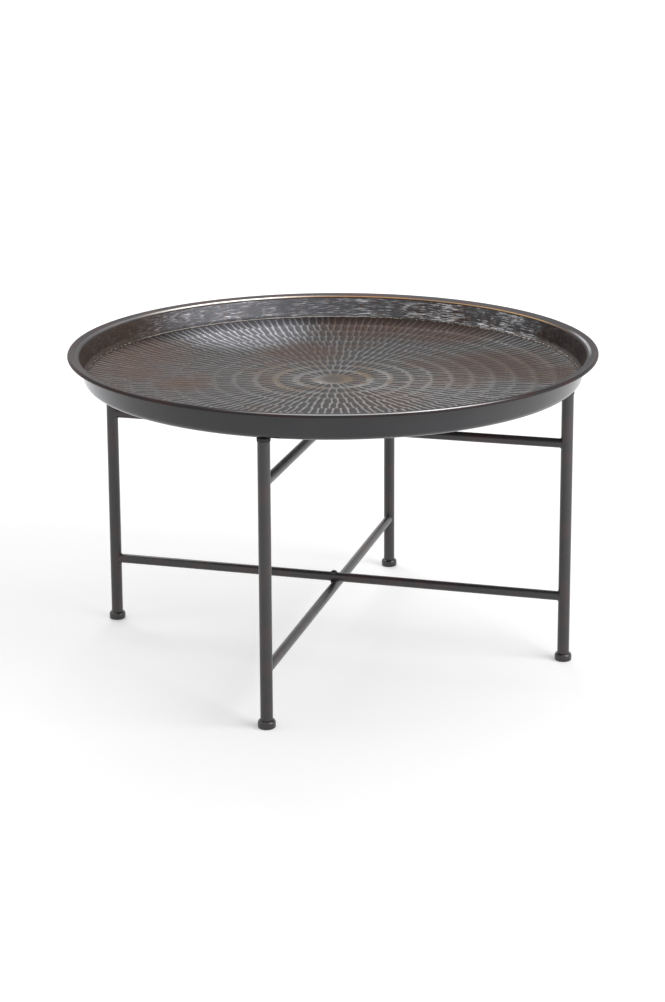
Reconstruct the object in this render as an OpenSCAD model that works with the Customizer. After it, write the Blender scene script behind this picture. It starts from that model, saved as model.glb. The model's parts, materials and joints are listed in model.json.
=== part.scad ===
// Tray table on a folding base.
// A dished sheet-metal tray with a rolled rim sits on the pads of four upright legs.
// The legs belong to two flat frames, A along X and B along Y, which cross in the middle
// and turn on two rivets that share the upright axis through the origin.
// Units are millimetres, +Z is up and the origin is on the floor under the tray's centre.

/* [Table] */
// Diameter over the rolled rim
tray_d = 762; // [700:1:820]
// Height from the floor to the top of the rim
table_h = 445; // [420:5:500]

/* [Tray] */
// Thickness of the sheet
sheet_t = 1.5; // [1.2:0.1:1.8]
// Outside radius of the rolled edge
roll_r = 3; // [2.6:0.1:3.6]
// How far the edge is rolled, in degrees
roll_turn = 280; // [200:5:280]
// Width of the lip, from the rim to the top of the wall
lip_w = 16.5; // [14:0.5:20]
// Slope of the lip, in degrees
lip_slope = 16; // [8:1:24]
// Radius of the edge between lip and wall
crease_r = 4; // [2.4:0.1:5]
// Lean of the wall from upright, in degrees
wall_lean = 14; // [8:1:20]
// Height of the rim above the edge of the floor
tray_depth = 41; // [36:0.5:46]
// Radius of the cove between wall and floor
cove_r = 10; // [7:0.5:12]
// How far the middle of the floor lies below its edge
floor_dish = 8; // [4:0.5:12]

/* [Legs] */
// Distance of a leg's axis from the rim, seen from above
leg_inset = 38.5; // [35:0.5:90]
// Outside diameter of a leg tube
leg_d = 17; // [16.5:0.5:18]
// Wall of a leg tube
leg_wall = 1.5; // [1.2:0.1:2]

/* [Stretchers] */
// Diameter of a stretcher bar
bar_d = 13.5; // [12:0.5:14]
// Height of the lower stretcher of frame A, the higher one of the lower pair
lower_bar_z = 96; // [80:1:140]
// Depth below the rim of the upper stretcher of frame B, the higher one of the upper pair
upper_bar_depth = 106; // [100:1:160]
// Leg of a weld's cross-section
weld_size = 0.8; // [0.6:0.1:1.2]

/* [Feet] */
// Widest diameter of a foot
foot_d = 24.5; // [23:0.5:27]
// Height at which the shoulder of a foot begins
foot_side_h = 7; // [5:0.5:9]
// Radius of the shoulder of a foot
foot_shoulder_r = 4.5; // [4.5:0.5:6]
// Radius of the bottom edge of a foot
foot_edge_r = 2; // [1:0.5:3]
// Thickness of the floor inside a foot
foot_floor_t = 3; // [2:0.5:4]
// Width of the land round the tube at the top of a foot
foot_land = 0.8; // [0.5:0.1:1]

/* [Pads] */
// Diameter of a pad's cap
pad_d = 18.4; // [17.8:0.2:20]
// Height of a pad's cap
pad_h = 5.5; // [4:0.5:8]
// Radius of the edges of a pad's cap
pad_edge_r = 1; // [0.5:0.1:1.5]
// Length of a pad's stem inside the tube
pad_stem_l = 12; // [8:1:20]

/* [Pivots] */
// Diameter of a rivet's shank
rivet_d = 6; // [5:0.5:6.5]
// Diameter of a rivet's domed head
head_d = 10; // [9:0.5:10.5]
// Height of the domed head above the bar
head_h = 3; // [2.5:0.5:4]
// Widest diameter of the closed end of a rivet, countersunk in the lower bar
tail_d = 8; // [7.5:0.5:9]
// Diameter of the washer between two bars
washer_d = 10; // [9:0.5:13]
// Thickness of the washer between two bars
washer_t = 2; // [1:0.1:3]

/* [Hidden] */

$fn = 96;
// How far a cutting shape runs past the face that it cuts
eps = 0.5;

// Clearance round a rivet's shank
pivot_gap = 0.05;
// Gap between faces of pieces that move past each other
run_gap = 0.3;
// Clearance of a leg in its foot, and of a bar's end against a leg
socket_gap = 0.05;
// Clearance of a pad's stem in its tube
stem_gap = 0.1;

// Directions of the four legs, seen from above
right = 0;
back = 90;
left = 180;
front = 270;
frame_a = 0;
frame_b = 90;

tray_r = tray_d / 2;
leg_circle_r = tray_r - leg_inset;
leg_r = leg_d / 2;
bar_r = bar_d / 2;
foot_r = foot_d / 2;
pivot_bore_d = rivet_d + 2 * pivot_gap;
// The closed end of a rivet: a cone of 45 degrees, level with the sides of its countersink
tail_h = (tail_d - rivet_d) / 2;
tail_drop = sqrt(pow(bar_r, 2) - pow(tail_d / 2 + run_gap, 2));
// Upright edge of a rivet's head, above the crest of its bar
head_rim = 0.5;
// Height between the axes of two bars that cross
bar_drop = bar_d + washer_t + run_gap;
// Heights of the stretchers' axes: A over B at the lower pivot, B over A at the upper one
lower_a_z = lower_bar_z;
lower_b_z = lower_bar_z - bar_drop;
upper_b_z = table_h - upper_bar_depth;
upper_a_z = upper_b_z - bar_drop;

// Colours
bronze = [0.25, 0.21, 0.19];
iron = [0.22, 0.22, 0.23];
iron_dark = [0.16, 0.16, 0.17];
black = [0.06, 0.06, 0.06];

// Tray profile, in radius and height, with directions in degrees above the horizontal
function along(a) = [cos(a), sin(a)];
function above(a) = [-sin(a), cos(a)];
function arc(centre, r, from, to, steps) =
    [for (i = [0:steps]) centre + r * along(from + (to - from) * i / steps)];

wall_rise = 90 - wall_lean;
roll_centre = [tray_r - roll_r, table_h - roll_r];
lip_end = roll_centre + roll_r * above(lip_slope);
crease_radius = tray_r - lip_w;
crease = [crease_radius, lip_end[1] - (lip_end[0] - crease_radius) * tan(lip_slope)];
crease_tangent = crease_r * tan((wall_rise - lip_slope) / 2);
crease_centre = crease - crease_tangent * along(wall_rise) - crease_r * above(wall_rise);

floor_z = table_h - tray_depth;
floor_r = crease[0] - (crease[1] - floor_z) * tan(wall_lean);
floor_rise = atan(2 * floor_dish / floor_r);
cove_tangent = cove_r * tan((wall_rise - floor_rise) / 2);
cove_start = [floor_r, floor_z] - cove_tangent * along(floor_rise);
cove_centre = cove_start + cove_r * above(floor_rise);

floor_steps = 12;
cove_steps = 8;
crease_steps = 6;
roll_steps = 16;

function floor_height(r) = floor_z - floor_dish * (1 - pow(r / floor_r, 2));
function floor_line(drop) =
    [for (i = [0:floor_steps - 1]) let (r = cove_start[0] * i / floor_steps) [r, floor_height(r) - drop]];
// One face of the sheet, as far below the upper face as drop says
function tray_face(drop) = concat(
    floor_line(drop),
    arc(cove_centre, cove_r + drop, floor_rise - 90, wall_rise - 90, cove_steps),
    arc(crease_centre, crease_r - drop, wall_rise + 90, lip_slope + 90, crease_steps),
    arc(roll_centre, roll_r - drop, lip_slope + 90, lip_slope + 90 - roll_turn, roll_steps)
);
function reversed(points) = [for (i = [len(points) - 1:-1:0]) points[i]];

// The pads' tops stay clear of the lowest part of the tray above them
pad_top_z = floor_height(leg_circle_r - pad_d / 2) - sheet_t - run_gap;
leg_top_z = pad_top_z - pad_h;
foot_top_r = leg_r + socket_gap + foot_land;
foot_shoulder_x = foot_r - foot_shoulder_r;
foot_shoulder_end = acos((foot_top_r - foot_shoulder_x) / foot_shoulder_r);
arc_steps = 6;

module at_leg(direction) {
    rotate([0, 0, direction]) translate([leg_circle_r, 0, 0]) children();
}

// A round bar through the upright axis, along the frame's direction
module bar_solid(d, z, length) {
    translate([0, 0, z]) rotate([0, 90, 0]) cylinder(d = d, h = length, center = true);
}

module tray() {
    color(bronze)
        rotate_extrude() polygon(concat(tray_face(0), reversed(tray_face(sheet_t))));
}

module leg(direction) {
    color(iron) at_leg(direction) translate([0, 0, foot_floor_t]) difference() {
        cylinder(d = leg_d, h = leg_top_z - foot_floor_t);
        translate([0, 0, -eps]) cylinder(d = leg_d - 2 * leg_wall, h = leg_top_z + eps);
    }
}

// A bar between two legs. The lower bar of a pivot has a countersink for the rivet's closed end.
module stretcher(direction, z, countersunk) {
    color(iron) rotate([0, 0, direction]) difference() {
        bar_solid(bar_d, z, 2 * leg_circle_r);
        for (side = [left, right])
            at_leg(side) translate([0, 0, z - bar_d]) cylinder(r = leg_r + socket_gap, h = 2 * bar_d);
        translate([0, 0, z - bar_d]) cylinder(d = pivot_bore_d, h = 2 * bar_d);
        if (countersunk) {
            translate([0, 0, z - tail_drop]) tail_solid(run_gap);
            translate([0, 0, z - bar_d]) cylinder(d = tail_d + 2 * run_gap, h = bar_d - tail_drop);
        }
    }
}

// A sleeve as thick as a weld, round a rod of radius r
module sleeve(r, length) {
    difference() {
        cylinder(r = r + weld_size, h = length);
        translate([0, 0, -eps]) cylinder(r = r, h = length + 2 * eps);
    }
}

// A fillet of weld metal round one end of a bar, on the leg's surface
module weld(direction, z) {
    color(iron) at_leg(direction) translate([0, 0, z]) intersection() {
        rotate([0, -90, 0]) sleeve(bar_r, leg_d);
        translate([0, 0, -leg_d]) sleeve(leg_r, 2 * leg_d);
    }
}

module foot(direction) {
    color(iron_dark) at_leg(direction) difference() {
        rotate_extrude() polygon(concat(
            [[0, 0]],
            arc([foot_r - foot_edge_r, foot_edge_r], foot_edge_r, -90, 0, arc_steps),
            arc([foot_shoulder_x, foot_side_h], foot_shoulder_r, 0, foot_shoulder_end, arc_steps),
            [[0, foot_side_h + foot_shoulder_r * sin(foot_shoulder_end)]]
        ));
        translate([0, 0, foot_floor_t]) cylinder(r = leg_r + socket_gap, h = foot_d);
    }
}

module pad(direction) {
    color(black) at_leg(direction) translate([0, 0, leg_top_z]) {
        rotate_extrude() polygon(concat(
            [[0, 0]],
            arc([pad_d / 2 - pad_edge_r, pad_edge_r], pad_edge_r, -90, 0, arc_steps),
            arc([pad_d / 2 - pad_edge_r, pad_h - pad_edge_r], pad_edge_r, 0, 90, arc_steps),
            [[0, pad_h]]
        ));
        translate([0, 0, -pad_stem_l])
            cylinder(r = leg_r - leg_wall - stem_gap, h = pad_stem_l + eps);
    }
}

// The cone of a rivet's closed end, as much larger all round as gap says
module tail_solid(gap) {
    cylinder(d1 = tail_d + 2 * gap, d2 = rivet_d + 2 * gap, h = tail_h);
}

// The rivet of a pivot, with its head on the higher bar and its closed end sunk in the lower bar
module pivot_rivet(direction, high_z) {
    crest = high_z + bar_r;
    head_r = head_d / 2;
    dome_h = head_h - head_rim;
    dome_r = (pow(head_r, 2) + pow(dome_h, 2)) / (2 * dome_h);
    saddle = bar_r - sqrt(pow(bar_r, 2) - pow(head_r, 2));
    end_z = high_z - bar_drop - tail_drop;
    color(iron_dark) rotate([0, 0, direction]) {
        translate([0, 0, end_z + tail_h / 2]) cylinder(d = rivet_d, h = crest - end_z);
        translate([0, 0, end_z]) tail_solid(0);
        difference() {
            intersection() {
                translate([0, 0, crest + head_h - dome_r]) sphere(r = dome_r);
                translate([0, 0, crest - saddle - eps]) cylinder(r = head_r, h = saddle + head_h + eps);
            }
            bar_solid(bar_d, high_z, head_d * 2);
        }
    }
}

module pivot_washer(high_z) {
    color(black) translate([0, 0, high_z - bar_r - washer_t]) difference() {
        cylinder(d = washer_d, h = washer_t);
        translate([0, 0, -eps]) cylinder(d = pivot_bore_d, h = washer_t + 2 * eps);
    }
}

tray();
leg(left);  // leg_a_left
leg(right);  // leg_a_right
leg(front);  // leg_b_front
leg(back);  // leg_b_back
stretcher(frame_a, lower_a_z, false);  // lower_stretcher_a
stretcher(frame_a, upper_a_z, true);  // upper_stretcher_a
stretcher(frame_b, lower_b_z, true);  // lower_stretcher_b
stretcher(frame_b, upper_b_z, false);  // upper_stretcher_b
weld(left, lower_a_z);  // weld_a_left_low
weld(left, upper_a_z);  // weld_a_left_high
weld(right, lower_a_z);  // weld_a_right_low
weld(right, upper_a_z);  // weld_a_right_high
weld(front, lower_b_z);  // weld_b_front_low
weld(front, upper_b_z);  // weld_b_front_high
weld(back, lower_b_z);  // weld_b_back_low
weld(back, upper_b_z);  // weld_b_back_high
foot(left);  // foot_a_left
foot(right);  // foot_a_right
foot(front);  // foot_b_front
foot(back);  // foot_b_back
pad(left);  // pad_a_left
pad(right);  // pad_a_right
pad(front);  // pad_b_front
pad(back);  // pad_b_back
pivot_rivet(frame_a, lower_a_z);  // lower_pivot_rivet
pivot_washer(lower_a_z);  // lower_pivot_washer
pivot_rivet(frame_b, upper_b_z);  // upper_pivot_rivet
pivot_washer(upper_b_z);  // upper_pivot_washer
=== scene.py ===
"""Tray table on a folding base: looks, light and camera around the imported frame.

The tray gets a new mesh, because its floor is hammered: rings of long dents with worn ridges between them.
All other pieces keep their solids and get painted-iron, rubber and nylon finishes.
Lengths are metres in the frame's own axes, with MM for sizes that are written in millimetres.
"""

import json
import math

import bpy
import numpy as np
from mathutils import Matrix, Vector


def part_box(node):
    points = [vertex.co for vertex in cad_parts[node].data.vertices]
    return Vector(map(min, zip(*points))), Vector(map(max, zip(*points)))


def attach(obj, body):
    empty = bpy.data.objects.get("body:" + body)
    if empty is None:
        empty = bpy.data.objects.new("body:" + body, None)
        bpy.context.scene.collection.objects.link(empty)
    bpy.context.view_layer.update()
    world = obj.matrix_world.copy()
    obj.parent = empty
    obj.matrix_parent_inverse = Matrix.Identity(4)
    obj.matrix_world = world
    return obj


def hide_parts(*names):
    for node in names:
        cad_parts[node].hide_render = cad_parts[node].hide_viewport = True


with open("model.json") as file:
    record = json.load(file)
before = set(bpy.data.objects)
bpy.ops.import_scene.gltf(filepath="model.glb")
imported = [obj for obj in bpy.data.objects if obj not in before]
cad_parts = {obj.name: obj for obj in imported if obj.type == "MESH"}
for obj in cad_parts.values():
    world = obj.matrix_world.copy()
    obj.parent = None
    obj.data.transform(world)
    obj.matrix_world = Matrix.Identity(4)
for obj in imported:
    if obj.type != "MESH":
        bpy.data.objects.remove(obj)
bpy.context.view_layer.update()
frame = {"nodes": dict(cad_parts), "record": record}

MM = 0.001
TURN = 2 * math.pi
QUARTER = math.pi / 2
rng = np.random.default_rng(7)

# The tray's profile, as its solid has it
tray_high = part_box("tray")[1]
RIM_R = tray_high.y
RIM_TOP = tray_high.z
SHEET_T = 1.5 * MM
ROLL_R = 3 * MM
ROLL_TURN = math.radians(280)
LIP_W = 16.5 * MM
LIP_SLOPE = math.radians(16)
CREASE_R = 4 * MM
WALL_RISE = math.radians(76)
TRAY_DEPTH = 41 * MM
COVE_R = 10 * MM
FLOOR_DISH = 8 * MM

# The hammered floor: rings of dents round a plain boss, the outer ones climbing to a bead at the wall
BOSS_R = 23.9 * MM
RING_PITCH = 29.8 * MM
RING_COUNT = 11
DENT_PITCH = 10.6 * MM
DENT_DEPTH = 0.9 * MM
BEAD_W = 2.4 * MM
BEAD_H = 0.6 * MM
BEAD_GROOVE = 0.8 * MM
CLIMB_FROM = 265 * MM
# Plain band between two rings: width of the first, loss from each to the next, and least width
BAND_W = 7.5 * MM
BAND_LOSS = 1.6 * MM
BAND_LEAST = 1.0 * MM
# Width of the ridges between the dents, in the first and in the last ring
RIDGE_W = (1.5 * MM, 2.0 * MM)
# A dent along its length: share of length, of width and of depth
DENT_ROWS = (
    (0, 0.55, 0),
    (0.08, 0.88, 0.7),
    (0.25, 1, 1),
    (0.5, 1, 1),
    (0.75, 1, 1),
    (0.92, 0.88, 0.7),
    (1, 0.55, 0),
)
# A dent across: share of half width and of depth
DENT_COLUMNS = ((-1, 0.06), (-0.6, 0.75), (0, 1), (0.6, 0.75), (1, 0.06))
# Least share of the room between two ridges that a dent takes up
LEAST_DENT = 0.3
# How uneven the hammering is, as shares of a dent's own sizes
PLACE_JITTER = 0.15
SKEW_JITTER = 0.25
DEPTH_JITTER = 0.3
END_JITTER = 0.06

# Wear, from 0 in the patina to 1 on rubbed metal: of the boss, and of a ridge where it runs into a band
BOSS_WEAR = 0.75
RIDGE_WEAR = 0.95
# Wear of the bands: of the first, and of all those outside the rubbed rings
BAND_WEAR = (1.05, 0.76)
RUBBED_RINGS = 5
# The bands are painted lighter along one line across the tray and darker square to it: a painted highlight of
# side light
SIDE_LIGHT_LINE = math.radians(15)
LEAST_SIDE_LIGHT = 0.78
# Wear of the rolled edge, from the lip over its crest; at the front right it also bounds the painted
# highlight
ROLL_WEAR = (0, 0, 0, 0.2, 0.5, 0.8, 0.4)

# Steps of the tray's mesh
TURN_STEPS = 360
BOSS_STEPS = 90
BEAD_STEPS = 6
COVE_STEPS = 10
WALL_STEPS = 4
CREASE_STEPS = 8
LIP_STEPS = 5
ROLL_STEPS = 20
UNDER_STEPS = 12

# Faces of the tray by finish, and the points of the crease that still have the wall's
FLOOR, BEAD, WALL, RIM, OUTSIDE = range(5)
WALL_CREASE = 2


# Profile of the tray, in radius and height

def along(angle):
    """Unit vector at an angle."""
    return np.array([math.cos(angle), math.sin(angle)])


def above(angle):
    """Unit vector a quarter turn on from an angle."""
    return np.array([-math.sin(angle), math.cos(angle)])


def arc(centre, radius, start, end, steps):
    return [centre + radius * along(start + (end - start) * i / steps) for i in range(steps + 1)]


def between(start, end, steps):
    """Points that divide a straight line, without its ends."""
    return [start + (end - start) * i / steps for i in range(1, steps)]


roll_centre = np.array([RIM_R - ROLL_R, RIM_TOP - ROLL_R])
lip_end = roll_centre + ROLL_R * above(LIP_SLOPE)
crease_x = RIM_R - LIP_W
crease = np.array([crease_x, lip_end[1] - (lip_end[0] - crease_x) * math.tan(LIP_SLOPE)])
crease_tangent = CREASE_R * math.tan((WALL_RISE - LIP_SLOPE) / 2)
crease_centre = crease - crease_tangent * along(WALL_RISE) - CREASE_R * above(WALL_RISE)
floor_z = RIM_TOP - TRAY_DEPTH
floor_r = crease[0] - (crease[1] - floor_z) / math.tan(WALL_RISE)
floor_rise = math.atan(2 * FLOOR_DISH / floor_r)
cove_tangent = COVE_R * math.tan((WALL_RISE - floor_rise) / 2)
cove_start = np.array([floor_r, floor_z]) - cove_tangent * along(floor_rise)
cove_centre = cove_start + COVE_R * above(floor_rise)
cove_end = cove_centre + COVE_R * along(WALL_RISE - QUARTER)


def floor_height(radius):
    """Height of the dished floor of the solid, on its inside."""
    return floor_z - FLOOR_DISH * (1 - (radius / floor_r) ** 2)


bead_from = cove_end[0] - BEAD_W
dents_end = bead_from - 2 * BEAD_GROOVE
climb_rise = cove_end[1] - floor_height(cove_end[0])


def floor_point(radius, sunk):
    """Radius and height on the hammered floor, sunk below its face."""
    climb = np.maximum(radius - CLIMB_FROM, 0) / (cove_end[0] - CLIMB_FROM)
    return radius, floor_height(radius) + climb_rise * climb ** 2 - sunk


def cove_line(drop):
    return arc(cove_centre, COVE_R + drop, floor_rise - QUARTER, WALL_RISE - QUARTER, COVE_STEPS)


def crease_line(drop):
    return arc(crease_centre, CREASE_R - drop, WALL_RISE + QUARTER, LIP_SLOPE + QUARTER, CREASE_STEPS)


def roll_line(drop):
    top = LIP_SLOPE + QUARTER
    return arc(roll_centre, ROLL_R - drop, top, top - ROLL_TURN, ROLL_STEPS)


def inside_rows():
    """Points from the bead to the end of the roll, each with the finish that leads to it and how worn it is;
    on the bead and the roll this also places painted highlight.
    """
    rows = [(floor_point(bead_from - BEAD_GROOVE, BEAD_GROOVE / 2), FLOOR, 0)]
    for i in range(BEAD_STEPS + 1):
        share = i / BEAD_STEPS
        raised = math.sin(math.pi * share)
        rows.append((floor_point(bead_from + BEAD_W * share, -BEAD_H * raised), BEAD, raised))
    wall_foot = np.array(rows[-1][0])
    creased = crease_line(0)
    rolled = roll_line(0)
    rows += [(point, WALL, 0) for point in between(wall_foot, creased[0], WALL_STEPS)]
    rows += [(point, WALL, 0) for point in creased[:WALL_CREASE]]
    rows += [(point, RIM, 0) for point in creased[WALL_CREASE:]]
    rows += [(point, RIM, 0) for point in between(creased[-1], lip_end, LIP_STEPS)]
    rows += [(point, RIM, wear_and_highlight) for point, wear_and_highlight in zip(rolled, ROLL_WEAR)]
    rows += [(point, RIM, 0) for point in rolled[len(ROLL_WEAR):]]
    return rows


def outside_line():
    """Points from the end of the roll back along the outside, to near the middle of the underside."""
    line = roll_line(SHEET_T)[::-1]
    line += between(line[-1], crease_line(SHEET_T)[-1], WALL_STEPS)
    line += crease_line(SHEET_T)[::-1]
    line += between(line[-1], cove_line(SHEET_T)[-1], WALL_STEPS)
    line += cove_line(SHEET_T)[::-1]
    for i in range(1, UNDER_STEPS):
        radius = cove_start[0] * (1 - i / UNDER_STEPS)
        line.append(np.array([radius, floor_height(radius) - SHEET_T]))
    return line


# Mesh of the tray

class TrayMesh:
    """Gathers rings of points, the faces between them, how worn each point is with the painted highlight that
    rides on it, and the finish of each face.
    """

    def __init__(self):
        self.points = []
        self.wear_and_highlight = []
        self.faces = []
        self.finish = []

    def ring(self, angles, radii, heights, wear_and_highlight):
        """One closed ring of points, from an angle near 0. Returns their numbers and angles."""
        first = len(self.points)
        radii, heights, wear_and_highlight = (np.broadcast_to(v, angles.shape) for v in (radii, heights, wear_and_highlight))
        self.points.extend(zip(radii * np.cos(angles), radii * np.sin(angles), heights))
        self.wear_and_highlight.extend(wear_and_highlight)
        return np.arange(first, first + len(angles)), angles

    def face(self, corners, finish):
        self.faces.append(tuple(int(c) for c in corners))
        self.finish.append(finish)

    def join(self, inner, outer, finish):
        """Faces between two rings: quads, or triangles where they have different counts."""
        if len(inner[0]) == len(outer[0]):
            self.strip(inner, outer, finish)
        else:
            self.stitch(inner, outer, finish)

    def strip(self, inner, outer, finish):
        """Quads between two rings of as many points."""
        a, b = inner[0], outer[0]
        for i in range(len(a)):
            self.face((a[i - 1], b[i - 1], b[i], a[i]), finish)

    def stitch(self, inner, outer, finish):
        """Triangles that take the nearer next point of the two rings in turn."""
        a, b = (np.append(numbers, numbers[0]) for numbers, _ in (inner, outer))
        angle_a, angle_b = (np.append(angles, angles[0] + TURN) for _, angles in (inner, outer))
        i = j = 0
        while i < len(a) - 1 or j < len(b) - 1:
            if j == len(b) - 1 or (i < len(a) - 1 and angle_a[i + 1] < angle_b[j + 1]):
                self.face((a[i], b[j], a[i + 1]), finish)
                i += 1
            else:
                self.face((a[i], b[j], b[j + 1]), finish)
                j += 1

    def cap(self, ring, height, wear_and_highlight, finish, flip=False):
        """A fan from the middle to a ring."""
        middle = len(self.points)
        self.points.append((0, 0, height))
        self.wear_and_highlight.append(wear_and_highlight)
        numbers = ring[0]
        for i in range(len(numbers)):
            corners = (middle, numbers[i - 1], numbers[i])
            self.face(corners[::-1] if flip else corners, finish)

    def make(self, name, materials):
        mesh = bpy.data.meshes.new(name)
        mesh.from_pydata([tuple(map(float, p)) for p in self.points], [], self.faces)
        for material in materials:
            mesh.materials.append(material)
        mesh.polygons.foreach_set("material_index", self.finish)
        mesh.polygons.foreach_set("use_smooth", [True] * len(self.faces))
        # How worn each point is, and on the bands, the bead and the roll where painted highlight goes
        attribute = mesh.attributes.new("wear_and_highlight", "FLOAT", "POINT")
        attribute.data.foreach_set("value", np.array(self.wear_and_highlight, np.float32))
        mesh.validate()
        mesh.update()
        made = bpy.data.objects.new(name, mesh)
        bpy.context.scene.collection.objects.link(made)
        return made


def full_turn(steps):
    return np.arange(steps) * TURN / steps


def uneven(count, share):
    return rng.uniform(-share, share, count)


def outward(pair, share):
    """Value between an inner and an outer one."""
    return pair[0] + (pair[1] - pair[0]) * share


def band_width(i):
    return max(BAND_W - BAND_LOSS * i, BAND_LEAST)


def ring_bounds(i):
    """Radii between which a ring has its dents."""
    start = BOSS_R + i * RING_PITCH + band_width(i) / 2
    if i == RING_COUNT - 1:
        return start, dents_end
    return start, BOSS_R + (i + 1) * RING_PITCH - band_width(i + 1) / 2


def side_lit_share(angles):
    """Share that a band keeps at an angle round the tray: a painted highlight of side light, strongest along
    one line.
    """
    return LEAST_SIDE_LIGHT + (1 - LEAST_SIDE_LIGHT) * np.cos(angles - SIDE_LIGHT_LINE) ** 2


def hammered_ring(mesh, start, end, ridge_w, band_wear):
    """One ring of dents between two radii, with a ridge between each two. Returns its first and last rows."""
    count = round(math.pi * (start + end) / DENT_PITCH)
    pitch = TURN / count
    middle = (np.arange(count) + uneven(count, PLACE_JITTER)) * pitch
    skew = uneven(count, SKEW_JITTER) * pitch
    depth = DENT_DEPTH * (1 + uneven(count, DEPTH_JITTER))
    first = start + (end - start) * (END_JITTER + uneven(count, END_JITTER))
    last = end - (end - start) * (END_JITTER + uneven(count, END_JITTER))
    rows = []
    for share_along, wide, deep in DENT_ROWS:
        ridge = middle + skew * (share_along - 0.5)
        gap = np.append(ridge[1:], ridge[0] + TURN) - ridge
        dent_radius = first + (last - first) * share_along
        half = np.maximum(gap - ridge_w / dent_radius, LEAST_DENT * gap) / 2 * wide
        angles = [ridge]
        radii = [np.full(count, start + (end - start) * share_along)]
        sunk = [np.zeros(count)]
        for across, deep_across in DENT_COLUMNS:
            angles.append(ridge + gap / 2 + half * across)
            radii.append(dent_radius)
            sunk.append(np.full(count, deep * deep_across))
        angles, radii, sunk = (np.stack(columns, 1) for columns in (angles, radii, sunk))
        radii, heights = floor_point(radii, sunk * depth[:, None])
        # On the bands this adds a painted highlight of side light to the worn value
        wear_and_highlight = 1 - sunk if deep else band_wear * side_lit_share(angles)
        wear_and_highlight[:, 0] = np.maximum(wear_and_highlight[:, 0], RIDGE_WEAR)
        rows.append(mesh.ring(angles.ravel(), radii.ravel(), heights.ravel(), wear_and_highlight.ravel()))
    for inner, outer in zip(rows, rows[1:]):
        mesh.join(inner, outer, FLOOR)
    return rows[0], rows[-1]


def build_tray(materials):
    """The whole sheet as one closed mesh: hammered floor, inside up to the rolled edge, and outside."""
    mesh = TrayMesh()
    edge = mesh.ring(full_turn(BOSS_STEPS), *floor_point(BOSS_R / 2, 0), BOSS_WEAR)
    mesh.cap(edge, floor_height(0), BOSS_WEAR, FLOOR)
    for i in range(RING_COUNT):
        ridge_w = outward(RIDGE_W, i / (RING_COUNT - 1))
        band_wear = outward(BAND_WEAR, min(i / RUBBED_RINGS, 1))
        first, last = hammered_ring(mesh, *ring_bounds(i), ridge_w, band_wear)
        mesh.join(edge, first, FLOOR)
        edge = last

    rows = inside_rows() + [(point, OUTSIDE, 0) for point in outside_line()]
    for point, finish, wear_and_highlight in rows:
        current = mesh.ring(full_turn(TURN_STEPS), *point, wear_and_highlight)
        mesh.join(edge, current, finish)
        edge = current
    mesh.cap(edge, floor_height(0) - SHEET_T, 0, OUTSIDE, flip=True)
    return mesh.make("hammered_tray", materials)


# Materials

# Share of its reach that a spot is full over, and of its half width that a circle is
NEAR_CORE = 0.35
CIRCLE_CORE = 0.4


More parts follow.
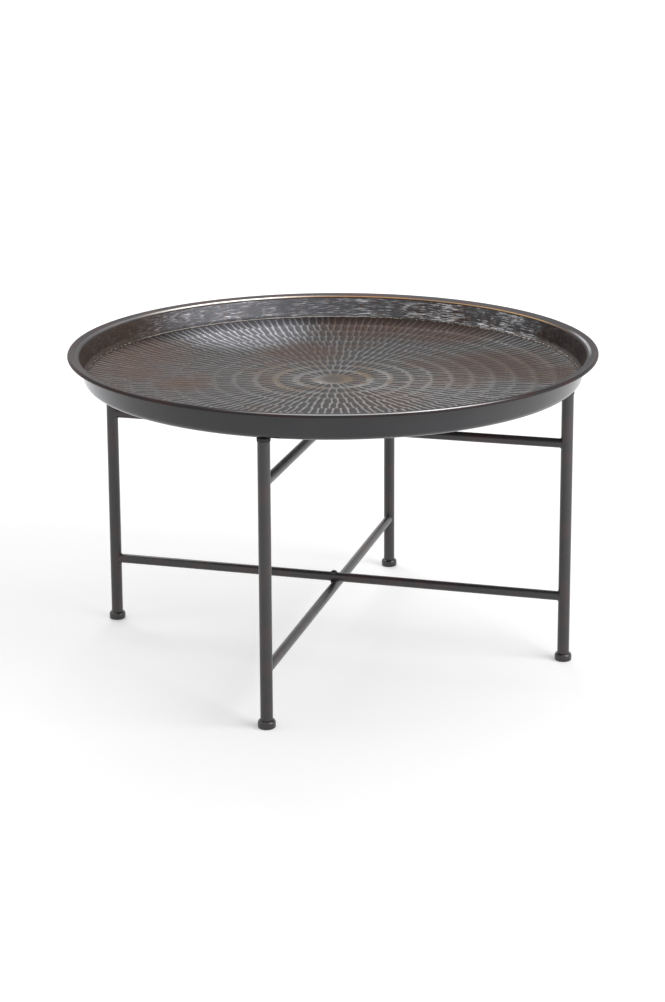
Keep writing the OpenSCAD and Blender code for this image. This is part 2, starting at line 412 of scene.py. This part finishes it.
class Finish:
    """A procedural material: a Principled shader and short ways to add the nodes that feed it."""

    def __init__(self, name, **constants):
        self.material = bpy.data.materials.new(name)
        self.material.use_nodes = True
        self.tree = self.material.node_tree
        self.shader = self.tree.nodes["Principled BSDF"]
        for socket, value in constants.items():
            self.shader.inputs[socket.replace("_", " ")].default_value = value
        self.place = self.node("ShaderNodeTexCoord").outputs["Object"]

    def node(self, kind, **settings):
        made = self.tree.nodes.new(kind)
        for key, value in settings.items():
            setattr(made, key, value)
        return made

    def feed(self, socket, value):
        """Links value to a socket, or sets it if it is a plain number or colour."""
        if isinstance(value, bpy.types.NodeSocket):
            self.tree.links.new(value, socket)
        else:
            socket.default_value = value

    def set(self, socket, value):
        self.feed(self.shader.inputs[socket], value)

    def bump(self, height, distance):
        made = self.node("ShaderNodeBump")
        made.inputs["Distance"].default_value = distance
        made.inputs["Strength"].default_value = 1.0
        self.feed(made.inputs["Height"], height)
        self.set("Normal", made.outputs["Normal"])

    def math(self, operation, a, b=0.0):
        made = self.node("ShaderNodeMath", operation=operation)
        self.feed(made.inputs[0], a)
        self.feed(made.inputs[1], b)
        return made.outputs[0]

    def times(self, *factors, clamp=False):
        """Product of two or more values, held between 0 and 1 if clamp is set."""
        product = factors[0]
        for factor in factors[1:]:
            product = self.math("MULTIPLY", product, factor)
        product.node.use_clamp = clamp
        return product

    def without(self, share):
        """What a share leaves of 1."""
        return self.math("SUBTRACT", 1.0, share)

    def most(self, a, b):
        return self.math("MAXIMUM", a, b)

    def span(self, value, low, high):
        """0 below low, 1 above high, smooth between."""
        made = self.node("ShaderNodeMapRange", interpolation_type="SMOOTHSTEP")
        self.feed(made.inputs["Value"], value)
        made.inputs["From Min"].default_value = low
        made.inputs["From Max"].default_value = high
        return made.outputs[0]

    def spread(self, value, low, high):
        """A value from 0 to 1 spread from low to high."""
        made = self.node("ShaderNodeMapRange")
        self.feed(made.inputs["Value"], value)
        made.inputs["To Min"].default_value = low
        made.inputs["To Max"].default_value = high
        return made.outputs[0]

    def mix(self, share, a, b):
        """Colour a, with a share of colour b."""
        made = self.node("ShaderNodeMix", data_type="RGBA")
        colours = [s for s in made.inputs if s.type == "RGBA"]
        self.feed(made.inputs["Factor"], share)
        self.feed(colours[0], a)
        self.feed(colours[1], b)
        return next(s for s in made.outputs if s.type == "RGBA")

    def noise(self, scale, detail=4.0, roughness=0.55, place=None):
        """Noise from 0 to 1, with scale as its spots in a metre."""
        made = self.node("ShaderNodeTexNoise")
        self.feed(made.inputs["Vector"], place or self.place)
        made.inputs["Scale"].default_value = scale
        made.inputs["Detail"].default_value = detail
        made.inputs["Roughness"].default_value = roughness
        return made.outputs["Fac"]

    def streaks(self, around, steep, detail, roughness):
        """Noise in streaks round the upright axis, with its spots in a metre around and in a metre across."""
        joined = self.node("ShaderNodeCombineXYZ")
        self.feed(joined.inputs[0], self.times(self.axis(0), around))
        self.feed(joined.inputs[1], self.times(self.axis(1), around))
        climb = self.math("ADD", self.from_axis(), self.axis(2))
        self.feed(joined.inputs[2], self.times(climb, steep))
        return self.noise(1.0, detail, roughness, joined.outputs[0])

    def wear_and_highlight(self):
        return self.node("ShaderNodeAttribute", attribute_name="wear_and_highlight").outputs["Fac"]

    def axis(self, index):
        split = self.node("ShaderNodeSeparateXYZ")
        self.feed(split.inputs[0], self.place)
        return split.outputs[index]

    def from_axis(self):
        """Distance from the upright axis."""
        flat = self.node("ShaderNodeVectorMath", operation="MULTIPLY")
        self.feed(flat.inputs[0], self.place)
        flat.inputs[1].default_value = (1, 1, 0)
        return self.length(flat.outputs[0])

    def length(self, vector):
        made = self.node("ShaderNodeVectorMath", operation="LENGTH")
        self.feed(made.inputs[0], vector)
        return made.outputs["Value"]

    def near(self, spot, reach):
        """1 at a spot on the tray, given in x and y, and 0 beyond a reach from it."""
        made = self.node("ShaderNodeVectorMath", operation="DISTANCE")
        self.feed(made.inputs[0], self.place)
        made.inputs[1].default_value = (*spot, floor_z)
        return self.without(self.span(made.outputs["Value"], NEAR_CORE * reach, reach))

    def circle(self, radius, half):
        """1 on a circle round the upright axis, and 0 beyond half a width from it."""
        away = self.math("ABSOLUTE", self.math("SUBTRACT", self.from_axis(), radius))
        return self.without(self.span(away, CIRCLE_CORE * half, half))


def rgb(r, g, b):
    return (r, g, b, 1.0)


# Floor of the tray: patina in the dents and metal on the ridges
DENT_GREY = rgb(0.049, 0.049, 0.051)
DENT_PLUM = rgb(0.06, 0.041, 0.044)
DENT_DULL = rgb(0.037, 0.032, 0.032)
DENT_BROWN = rgb(0.062, 0.039, 0.033)
# Dents under the painted glint at the back left
DENT_GLINT = rgb(0.14, 0.14, 0.15)
RIDGE_GREY = rgb(0.235, 0.232, 0.228)
RIDGE_DULL = rgb(0.16, 0.15, 0.147)
RIDGE_BROWN = rgb(0.155, 0.115, 0.094)
RIDGE_PALE = rgb(0.34, 0.334, 0.33)
RIDGE_GOLD = rgb(0.22, 0.172, 0.13)
# Ridges under the painted glint at the back left
RIDGE_GLINT = rgb(0.52, 0.52, 0.56)
# Bead, wall, lip and rolled edge
BEAD_BROWN = rgb(0.05, 0.038, 0.033)
BEAD_DOT = rgb(0.24, 0.21, 0.18)
# Crest of the bead: worn metal with a painted highlight
BEAD_HIGHLIGHT = rgb(0.85, 0.79, 0.71)
WALL_GREY = rgb(0.07, 0.069, 0.073)
WALL_BROWN = rgb(0.05, 0.032, 0.023)
# Painted sheen of the wall at the back left
WALL_SHEEN = rgb(0.1, 0.1, 0.112)
# Painted shade of the wall at the right
WALL_SHADE = rgb(0.024, 0.015, 0.013)
WALL_SPECK = rgb(0.12, 0.075, 0.055)
WALL_SILVER = rgb(0.62, 0.62, 0.64)
LIP_GREY = rgb(0.04, 0.035, 0.037)
LIP_PLUM = rgb(0.052, 0.033, 0.033)
# Polished rolled edge, pale as a painted highlight
ROLL_SILVER_HIGHLIGHT = rgb(0.6, 0.6, 0.61)
# Lacquer outside the tray, paint on the base, and black rubber and nylon
LACQUER_DARK = rgb(0.02, 0.02, 0.023)
LACQUER_LIGHT = rgb(0.027, 0.026, 0.029)
# Painted sheen of the outside at the left
LACQUER_SHEEN = rgb(0.115, 0.12, 0.145)
PAINT_RUST = rgb(0.052, 0.026, 0.027)
PAINT_SPECK = rgb(0.06, 0.06, 0.063)
BLACK_DEEP = rgb(0.012, 0.012, 0.012)
BLACK_LIGHT = rgb(0.024, 0.023, 0.023)

# Places where the tray's finish changes: x and y of the middle, and reach
GOLD_MIDDLE = ((0.0, 0.0), 0.15)
PALE_FRONT = ((0.15, -0.14), 0.28)
DULL_LEFT = ((-0.3, -0.02), 0.32)
# Painted glint of the floor at the back left
GLINT_BACK = ((-0.215, 0.24), 0.14)
BROWN_CLOUDS = (
    ((-0.025, 0.325), 0.12),
    ((-0.09, 0.146), 0.09),
    ((0.209, 0.119), 0.13),
    ((0.107, -0.1), 0.08),
    ((-0.341, 0.047), 0.13),
    ((0.1, 0.328), 0.13),
    ((-0.2, -0.09), 0.06),
    ((-0.29, -0.05), 0.07),
    ((0.175, 0.025), 0.07),
    ((0.3, 0.07), 0.07),
)
# Painted highlight on the bead's crest at the back left
HIGHLIT_BEAD = ((-0.2, 0.27), 0.26)
# Painted sheen of the wall at the back left
SHEEN_WALL = ((-0.2, 0.31), 0.24)
SCRATCHED_WALL = ((0.14, 0.33), 0.16)
# Painted shade of the wall at the right
SHADE_WALL = ((0.32, 0.17), 0.17)
# Polished stretch of the rolled edge at the front right, painted pale as a highlight
POLISHED_LIT_ROLL = ((0.15, -0.37), 0.24)
# Painted sheen of the outside at the left
SHEEN_OUTSIDE = ((-0.36, -0.1), 0.28)
# Rubbed lines on the lip and painted highlight lines: radius and half width, spot and reach of each, and
# colour
LIP_LINES_AND_HIGHLIGHTS = (
    (367.5 * MM, 4 * MM, (-0.36, -0.05), 0.35, rgb(0.145, 0.138, 0.14)),
    (371 * MM, 6 * MM, (0.33, -0.1), 0.3, rgb(0.1, 0.095, 0.095)),
    # Painted highlight: a pale line on the lip at the back left
    (367.2 * MM, 2.6 * MM, (-0.24, 0.277), 0.2, rgb(0.8, 0.76, 0.7)),
    (366.5 * MM, 2.0 * MM, (-0.06, 0.365), 0.17, rgb(0.24, 0.14, 0.07)),
    (366 * MM, 1.2 * MM, (0.18, 0.32), 0.24, rgb(0.24, 0.15, 0.07)),
    # Painted highlight: a light grey line on the lip at the right end
    (369 * MM, 2.4 * MM, (0.35, 0.12), 0.11, rgb(0.5, 0.5, 0.52)),
)


def brown_share(f):
    """Brown clouds in the patina: faint ones at large, and the larger ones in their places."""
    share = f.times(f.span(f.noise(16.0, 5.0, 0.6), 0.5, 0.66), 0.7)
    for cloud in BROWN_CLOUDS:
        share = f.most(share, f.near(*cloud))
    return f.times(share, f.spread(f.noise(45.0), 0.3, 1.4), clamp=True)


def hammered_bronze():
    """Floor: dark patina in the dents, ridges worn back to grey metal, brown and plum clouds, and a painted
    glint on dents and ridges at the back left.
    """
    f = Finish("hammered_bronze", Specular_IOR_Level=0.3, Specular_Tint=rgb(0.4, 0.4, 0.4))
    brown = brown_share(f)
    plum = f.times(f.span(f.noise(40.0, 3.0, 0.6), 0.52, 0.66), 0.7)
    dull = f.times(f.near(*DULL_LEFT), 0.7)
    pale = f.times(f.near(*PALE_FRONT), 0.9)
    gold = f.times(f.near(*GOLD_MIDDLE), f.span(f.noise(22.0, 2.0), 0.42, 0.58))
    glint = f.near(*GLINT_BACK)

    dent = f.mix(plum, DENT_GREY, DENT_PLUM)
    dent = f.mix(dull, dent, DENT_DULL)
    dent = f.mix(brown, dent, DENT_BROWN)
    dent = f.mix(glint, dent, DENT_GLINT)
    ridge = f.mix(dull, RIDGE_GREY, RIDGE_DULL)
    ridge = f.mix(brown, ridge, RIDGE_BROWN)
    ridge = f.mix(pale, ridge, RIDGE_PALE)
    ridge = f.mix(gold, ridge, RIDGE_GOLD)
    ridge = f.mix(glint, ridge, RIDGE_GLINT)

    # Worn metal, and on the bands a painted highlight of side light
    rub_and_highlight = f.times(f.span(f.wear_and_highlight(), 0.62, 0.98), f.spread(f.noise(220.0, 3.0), 0.5, 1.3), clamp=True)
    f.set("Base Color", f.mix(rub_and_highlight, dent, ridge))
    f.set("Metallic", f.spread(rub_and_highlight, 0.5, 0.85))
    f.set("Roughness", f.spread(rub_and_highlight, 0.48, 0.36))
    f.bump(f.noise(500.0, 3.0), 0.12 * MM)
    return f.material


def bead_bronze():
    """Bead at the foot of the wall: its crest worn and painted pale as a highlight at the back left, dots on
    dark brown elsewhere.
    """
    f = Finish("bead_bronze", Metallic=0.6, Specular_Tint=rgb(0.5, 0.5, 0.5))
    dots = f.span(f.noise(170.0, 2.0), 0.5, 0.6)
    crest = f.span(f.wear_and_highlight(), 0.2, 0.8)
    # The crest painted pale as a highlight at the back left
    pale = f.times(f.near(*HIGHLIT_BEAD), f.spread(f.noise(120.0, 3.0), 0.4, 1.5), crest, clamp=True)
    f.set("Base Color", f.mix(pale, f.mix(dots, BEAD_BROWN, BEAD_DOT), BEAD_HIGHLIGHT))
    f.set("Roughness", f.spread(dots, 0.5, 0.38))
    return f.material


def wall_bronze():
    """Wall: dark patina, browner at the sides, with a painted sheen at the back left, painted shade at the
    right, and fine silvery scratches running round it at the back, fewer in the painted shade.
    """
    f = Finish("wall_bronze", Specular_IOR_Level=0.4, Specular_Tint=rgb(0.5, 0.5, 0.5))
    behind = f.span(f.axis(1), 0.08, 0.26)
    # Painted shade at the right, which also thins the scratches there
    dark = f.near(*SHADE_WALL)
    strokes = f.streaks(60.0, 900.0, 5.0, 0.66)
    patches = f.span(f.noise(26.0, 5.0, 0.65), 0.34, 0.62)
    scratched = f.times(
        f.span(strokes, 0.5, 0.66),
        patches,
        f.spread(behind, 0.15, 1.0),
        f.spread(f.near(*SCRATCHED_WALL), 1.0, 3.0),
        f.spread(dark, 1.0, 0.25),
        clamp=True,
    )
    grey = f.times(behind, f.span(f.noise(12.0), 0.36, 0.52))
    specks = f.times(f.span(f.noise(110.0, 5.0), 0.52, 0.7), 0.5)

    colour = f.mix(grey, WALL_BROWN, WALL_GREY)
    colour = f.mix(f.near(*SHEEN_WALL), colour, WALL_SHEEN)
    colour = f.mix(dark, colour, WALL_SHADE)
    colour = f.mix(specks, colour, WALL_SPECK)
    f.set("Base Color", f.mix(scratched, colour, WALL_SILVER))
    f.set("Metallic", f.spread(scratched, 0.45, 0.85))
    f.set("Roughness", f.spread(strokes, 0.3, 0.56))
    f.bump(strokes, 0.12 * MM)
    return f.material


def rim_bronze():
    """Lip and rolled edge: dark brown patina with worn lines and painted highlight lines, and a stretch of
    the rolled edge worn to pale metal and painted as a highlight.
    """
    f = Finish("rim_bronze", Specular_IOR_Level=0.12, Specular_Tint=rgb(0.4, 0.4, 0.4))
    streaks = f.streaks(30.0, 500.0, 4.0, 0.6)
    uneven_rub = f.spread(streaks, 0.3, 1.6)
    colour = f.mix(f.span(f.noise(14.0), 0.42, 0.6), LIP_GREY, LIP_PLUM)
    # Polished roll at the front right, painted pale as a highlight
    polish_and_highlight = f.times(f.near(*POLISHED_LIT_ROLL), f.span(f.wear_and_highlight(), 0.1, 0.9))
    # Metal where the worn lines, the painted highlight lines and the polished roll are
    worn = polish_and_highlight
    for radius, half, spot, reach, metal in LIP_LINES_AND_HIGHLIGHTS:
        line = f.times(f.circle(radius, half), f.near(spot, reach), uneven_rub, clamp=True)
        colour = f.mix(line, colour, metal)
        worn = f.most(worn, line)
    f.set("Base Color", f.mix(polish_and_highlight, colour, ROLL_SILVER_HIGHLIGHT))
    f.set("Metallic", f.spread(worn, 0.4, 0.9))
    f.set("Roughness", f.spread(streaks, 0.22, 0.42))
    f.bump(streaks, 0.06 * MM)
    return f.material


def gunmetal():
    """Outside of the tray: dark satin lacquer, faintly brushed round, with a pale bluish painted sheen at the
    left.
    """
    f = Finish("gunmetal_lacquer", Metallic=0.25, Coat_Weight=0.25, Coat_Roughness=0.12)
    streaks = f.streaks(16.0, 900.0, 5.0, 0.6)
    sheen = f.times(f.near(*SHEEN_OUTSIDE), f.spread(f.noise(40.0), 0.5, 1.3), clamp=True)
    colour = f.mix(f.span(f.noise(8.0, 3.0), 0.35, 0.7), LACQUER_DARK, LACQUER_LIGHT)
    f.set("Base Color", f.mix(sheen, colour, LACQUER_SHEEN))
    f.set("Roughness", f.spread(streaks, 0.13, 0.27))
    f.bump(streaks, 0.04 * MM)
    return f.material


def painted_iron(name, tone, rust, roughness):
    """Dark satin paint over iron, with a fine orange-peel and red-brown where the paint is thin."""
    f = Finish(name, Specular_IOR_Level=0.6)
    clouds = f.span(f.noise(26.0), 0.46, 0.64)
    fine = f.noise(900.0, 2.0)
    colour = f.mix(f.times(clouds, rust), tone, PAINT_RUST)
    f.set("Base Color", f.mix(f.times(f.span(fine, 0.4, 0.8), 0.3), colour, PAINT_SPECK))
    f.set("Roughness", f.spread(f.noise(60.0, 3.0), roughness - 0.08, roughness + 0.1))
    f.bump(fine, 0.06 * MM)
    return f.material


def soft_black(name, roughness, grain):
    """Rubber or nylon: matt black with a fine grain."""
    f = Finish(name)
    fine = f.noise(grain, 3.0)
    f.set("Base Color", f.mix(fine, BLACK_DEEP, BLACK_LIGHT))
    f.set("Roughness", f.spread(fine, roughness - 0.08, roughness + 0.08))
    f.bump(fine, 0.08 * MM)
    return f.material


tray = build_tray([hammered_bronze(), bead_bronze(), wall_bronze(), rim_bronze(), gunmetal()])
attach(tray, "tray")
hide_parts("tray")

# Finish of each material slot of the record, for the nodes that keep their solids
finishes = {
    "frame_iron": painted_iron("frame_iron_paint", tone=rgb(0.025, 0.025, 0.027), rust=0.75, roughness=0.3),
    "foot_iron": painted_iron("foot_iron_paint", tone=rgb(0.018, 0.018, 0.019), rust=0.4, roughness=0.2),
    "pivot_iron": painted_iron("pivot_iron_paint", tone=rgb(0.022, 0.022, 0.023), rust=0.4, roughness=0.26),
    "pad_rubber": soft_black("black_rubber", roughness=0.7, grain=800.0),
    "washer_black": soft_black("black_nylon", roughness=0.55, grain=500.0),
}
slots = {part["node"]: part["material_slot"] for part in frame["record"]["subparts"]}
for name, node in frame["nodes"].items():
    if name != "tray":
        node.data.materials.clear()
        node.data.materials.append(finishes[slots[name]])


# Floor, light and camera

FLOOR_HALF = 30.0
# Two whites that the floor wavers between
FLOOR_WHITE = (rgb(0.9, 0.9, 0.9), rgb(0.92, 0.92, 0.92))
# What the eye and reflections see of the floor beyond the light that falls on it: at the table, and far off
FLOOR_GLOW = (0.3, 0.75)
# Distances from the table between which the glow rises
GLOW_RISE = (1.0, 3.5)

# The photograph's camera, with its focal length in pixels of a frame 1002 high
CAMERA_PLACE = Vector((0.8004, -2.9236, 1.1518))
CAMERA_YAW = math.radians(15.315)
CAMERA_PITCH = math.radians(11.917)
CAMERA_ROLL = math.radians(-0.256)
FOCAL_PX = 2156.5
FRAME_H_PX = 1002
SENSOR = 36.0
SHIFT_Y = -0.2


def seen_share(tree):
    """1 for what is seen, straight, in a reflection or through glass, and 0 for light on things."""
    path = tree.nodes.new("ShaderNodeLightPath")
    seen = path.outputs["Is Camera Ray"]
    for other in ("Is Glossy Ray", "Is Transmission Ray"):
        joined = tree.nodes.new("ShaderNodeMath")
        joined.operation = "MAXIMUM"
        tree.links.new(seen, joined.inputs[0])
        tree.links.new(path.outputs[other], joined.inputs[1])
        seen = joined.outputs[0]
    return seen


def white_floor():
    """A pale floor that keeps the shadow and glows towards white where the eye sees it."""
    f = Finish("studio_floor", Roughness=0.9, Emission_Color=rgb(1, 1, 1))
    glow = f.spread(f.span(f.length(f.place), *GLOW_RISE), *FLOOR_GLOW)
    f.set("Base Color", f.mix(f.noise(3.0, 2.0), *FLOOR_WHITE))
    f.set("Emission Strength", f.times(seen_share(f.tree), glow))
    mesh = bpy.data.meshes.new("studio_floor")
    h = FLOOR_HALF
    mesh.from_pydata([(-h, -h, 0), (h, -h, 0), (h, h, 0), (-h, h, 0)], [], [(0, 1, 2, 3)])
    mesh.materials.append(f.material)
    floor = bpy.data.objects.new("studio_floor", mesh)
    bpy.context.scene.collection.objects.link(floor)


def studio_world(diffuse_level):
    """White to the eye and in reflections, and a soft dome of the given level for diffuse light."""
    world = bpy.data.worlds.new("studio")
    bpy.context.scene.world = world
    world.use_nodes = True
    tree = world.node_tree
    background = tree.nodes["Background"]
    background.inputs["Color"].default_value = rgb(1, 1, 1)
    level = tree.nodes.new("ShaderNodeMapRange")
    level.inputs["To Min"].default_value = diffuse_level
    tree.links.new(seen_share(tree), level.inputs["Value"])
    tree.links.new(level.outputs[0], background.inputs["Strength"])


def softbox(name, azimuth, elevation, distance, size, power):
    """An area light aimed at the middle of the tray. Azimuth 0 is behind the table as the camera sees it."""
    target = Vector((0, 0, RIM_TOP))
    a = math.radians(azimuth) + CAMERA_YAW
    e = math.radians(elevation)
    away = Vector((-math.sin(a) * math.cos(e), math.cos(a) * math.cos(e), math.sin(e)))
    data = bpy.data.lights.new(name, "AREA")
    data.shape = "RECTANGLE"
    data.size, data.size_y = size
    data.energy = power
    lamp = bpy.data.objects.new(name, data)
    lamp.location = target + away * distance
    lamp.rotation_euler = away.to_track_quat("Z", "Y").to_euler()
    bpy.context.scene.collection.objects.link(lamp)


def photo_camera():
    data = bpy.data.cameras.new("photo_camera")
    data.sensor_width = SENSOR
    data.lens = FOCAL_PX / FRAME_H_PX * SENSOR
    data.shift_y = SHIFT_Y
    camera = bpy.data.objects.new("photo_camera", data)
    turn = Matrix.Rotation(CAMERA_YAW, 4, "Z") @ Matrix.Rotation(QUARTER - CAMERA_PITCH, 4, "X")
    camera.matrix_world = Matrix.Translation(CAMERA_PLACE) @ turn @ Matrix.Rotation(CAMERA_ROLL, 4, "Z")
    bpy.context.scene.collection.objects.link(camera)
    bpy.context.scene.camera = camera


white_floor()
studio_world(diffuse_level=0.45)
softbox("back_softbox", azimuth=18, elevation=42, distance=2.6, size=(1.9, 1.1), power=22)
softbox("right_softbox", azimuth=-122, elevation=26, distance=2.6, size=(2.0, 2.0), power=48)
softbox("left_softbox", azimuth=100, elevation=30, distance=2.8, size=(1.0, 1.2), power=3)
photo_camera()
bpy.context.scene.view_settings.view_transform = "Standard"
